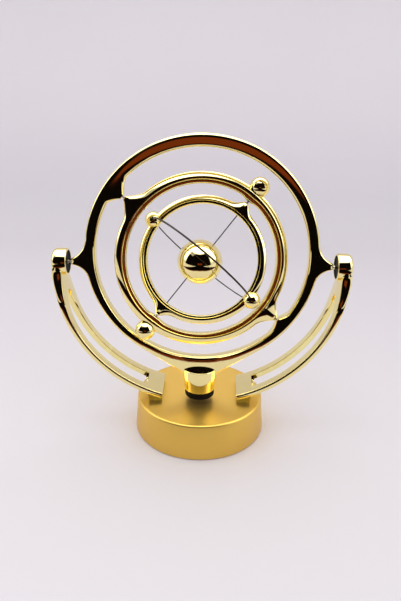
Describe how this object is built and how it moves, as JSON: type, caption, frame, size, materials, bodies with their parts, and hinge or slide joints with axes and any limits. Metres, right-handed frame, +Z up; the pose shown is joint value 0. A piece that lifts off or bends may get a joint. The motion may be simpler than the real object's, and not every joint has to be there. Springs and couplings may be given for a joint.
{
  "type": "gimbal orbit desk toy",
  "caption": "Battery-driven desk toy: a magnet pendulum ring swings on two curved slotted arms over a drum base, with nested rings and an orbiting ball system turning inside it.",
  "frame": {"origin": "centre of the base on the surface it stands on", "axes": "+Z up, front towards -Y, +X to the viewer's right along the outer ring's pivot axis"},
  "size_m": [0.1926, 0.09, 0.202],
  "materials": {
    "satin_gold": "satin",
    "chrome_gold": "gold mirror plating",
    "black_plastic": "matte",
    "white_plastic": "matte",
    "rubber": "matte",
    "steel": "plain",
    "brass": "turned",
    "copper": "enamelled copper wire",
    "magnet": "nickel plated",
    "battery": "gloss sleeve",
    "board_green": "matte",
    "capacitor_blue": "gloss sleeve"
  },
  "bodies": {
    "base": {"base_shell": "satin_gold", "base_plate": "black_plastic", "rubber_foot_right": "rubber", "rubber_foot_back": "rubber", "rubber_foot_left": "rubber", "rubber_foot_front": "rubber", "arm_screw_left_front": "steel", "arm_screw_left_back": "steel", "arm_screw_right_front": "steel", "arm_screw_right_back": "steel", "plate_screw_left_front": "steel", "plate_screw_left_back": "steel", "plate_screw_right_front": "steel", "plate_screw_right_back": "steel", "battery_left": "battery", "contact_tab_left": "steel", "contact_spring_left": "steel", "battery_right": "battery", "contact_tab_right": "steel", "contact_spring_right": "steel", "coil_bobbin": "white_plastic", "drive_coil": "copper", "coil_core": "steel", "circuit_board": "board_green", "transistor": "black_plastic", "capacitor": "capacitor_blue", "arm_left": "chrome_gold", "swing_bearing_left": "brass", "arm_right": "chrome_gold", "swing_bearing_right": "brass"},
    "battery_cover": {"battery_door": "black_plastic"},
    "swing": {"outer_ring": "chrome_gold", "swing_pin_left": "steel", "swing_pin_right": "steel", "middle_bearing_upper": "brass", "middle_bearing_lower": "brass", "pendulum_weight": "chrome_gold", "drive_magnet": "magnet", "magnet_cap": "black_plastic", "pendulum_screw": "steel"},
    "middle": {"middle_ring": "chrome_gold", "middle_pin_upper": "steel", "middle_pin_lower": "steel", "inner_bearing_upper": "brass", "inner_bearing_lower": "brass", "large_ball_upper": "chrome_gold", "large_ball_lower": "chrome_gold"},
    "inner": {"inner_ring": "chrome_gold", "inner_pin_upper": "steel", "inner_pin_lower": "steel", "orbit_wire_front": "steel", "orbit_wire_back": "steel", "small_ball_upper": "chrome_gold", "small_ball_lower": "chrome_gold", "sphere_axle": "steel", "centre_sphere": "chrome_gold"}
  },
  "joints": [
    {"name": "outer_ring_swing", "type": "hinge", "parent": "base", "child": "swing", "pos_m": [0, 0, 0.1202], "axis": [1, 0, 0], "continuous": true},
    {"name": "middle_ring_spin", "type": "hinge", "parent": "swing", "child": "middle", "pos_m": [0, 0.00036, 0.12338], "axis": [0.788, -0.0697, -0.6117], "continuous": true},
    {"name": "inner_ring_spin", "type": "hinge", "parent": "middle", "child": "inner", "pos_m": [0, 0.00036, 0.12338], "axis": [0.6101, 0.2215, 0.7607], "continuous": true},
    {"name": "battery_door_slide", "type": "slide", "parent": "base", "child": "battery_cover", "axis": [0, 0, -1], "range_m": [0, 0.04]}
  ]
}
